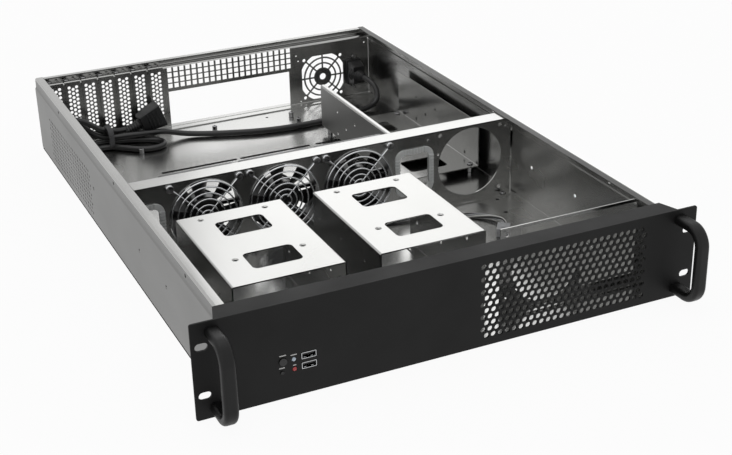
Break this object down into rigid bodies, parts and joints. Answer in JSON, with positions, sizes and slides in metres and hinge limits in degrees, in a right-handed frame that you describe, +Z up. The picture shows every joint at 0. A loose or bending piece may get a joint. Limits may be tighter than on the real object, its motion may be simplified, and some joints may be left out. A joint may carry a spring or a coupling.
{
  "type": "rackmount server case",
  "caption": "Open 2U rackmount server case: steel tray, black panel with two handles, fan wall with fans, drive cages, rear tray, slot covers and stored leads.",
  "frame": {"origin": "under the middle of the whole case, on the plane that the tray stands on", "axes": "+X across the rack to the right seen from the front, +Y from the front panel to the rear, +Z up"},
  "size_m": [0.4826, 0.692, 0.0881],
  "materials": {
    "zinc_steel": "zinc plated sheet, satin",
    "panel_black": "fine powder coat, matt black",
    "handle_black": "black anodised, satin",
    "plastic_black": "moulded black plastic",
    "plastic_grey": "moulded grey edging",
    "wire_chrome": "bright plated wire",
    "screw_steel": "bright zinc screws",
    "cord_black": "soft black cord sheath",
    "tie_grey": "hook and loop strap",
    "board_green": "printed circuit board",
    "port_steel": "bright tinned shell",
    "lamp_clear": "clear pale blue lamp",
    "lamp_red": "clear red lamp",
    "lead_wires": "thin insulated wires"
  },
  "bodies": {
    "case": {"board_standoffs": "screw_steel", "cable_edging_left": "plastic_grey", "cable_edging_mid": "plastic_grey", "chassis_tray": "zinc_steel", "cord_hank": "cord_black", "cord_socket": "plastic_black", "cord_tail": "cord_black", "cord_tie": "tie_grey", "drive_cage_left": "zinc_steel", "drive_cage_right": "zinc_steel", "drive_led": "lamp_red", "fan_frame_1": "plastic_black", "fan_frame_2": "plastic_black", "fan_frame_3": "plastic_black", "fan_guard_1": "wire_chrome", "fan_guard_2": "wire_chrome", "fan_guard_3": "wire_chrome", "fan_screws": "screw_steel", "fan_wall": "zinc_steel", "front_io_board": "board_green", "front_lead": "lead_wires", "front_panel": "panel_black", "handle_left": "handle_black", "handle_right": "handle_black", "inlet_connector": "plastic_black", "inlet_screws": "screw_steel", "lead_connector": "plastic_black", "power_cord": "cord_black", "power_led": "lamp_clear", "psu_plate": "zinc_steel", "rear_drive_tray": "zinc_steel", "rear_panel": "zinc_steel", "slot_cover_1": "zinc_steel", "slot_cover_2": "zinc_steel", "slot_cover_3": "zinc_steel", "slot_cover_4": "zinc_steel", "slot_cover_5": "zinc_steel", "slot_cover_6": "zinc_steel", "slot_cover_7": "zinc_steel", "slot_screws": "screw_steel", "tray_pillars": "screw_steel", "usb_port_lower": "port_steel", "usb_port_upper": "port_steel"},
    "rotor_1": {"fan_rotor_1": "plastic_black"},
    "rotor_2": {"fan_rotor_2": "plastic_black"},
    "rotor_3": {"fan_rotor_3": "plastic_black"},
    "power_key": {"power_button": "plastic_black"},
    "reset_key": {"reset_button": "plastic_black"}
  },
  "joints": [
    {"name": "fan_1_spin", "type": "hinge", "parent": "case", "child": "rotor_1", "pos_m": [-0.1324, -0.0148, 0.0447], "axis": [0, -1, 0], "continuous": true},
    {"name": "fan_2_spin", "type": "hinge", "parent": "case", "child": "rotor_2", "pos_m": [-0.05, -0.0148, 0.0447], "axis": [0, -1, 0], "continuous": true},
    {"name": "fan_3_spin", "type": "hinge", "parent": "case", "child": "rotor_3", "pos_m": [0.032, -0.0148, 0.0447], "axis": [0, -1, 0], "continuous": true},
    {"name": "power_press", "type": "slide", "parent": "case", "child": "power_key", "axis": [0, 1, 0], "range_m": [0, 0.0012], "stiffness_N_per_m": 400, "springref_m": -0.0005},
    {"name": "reset_press", "type": "slide", "parent": "case", "child": "reset_key", "axis": [0, 1, 0], "range_m": [0, 0.0012], "stiffness_N_per_m": 400, "springref_m": -0.0005}
  ]
}
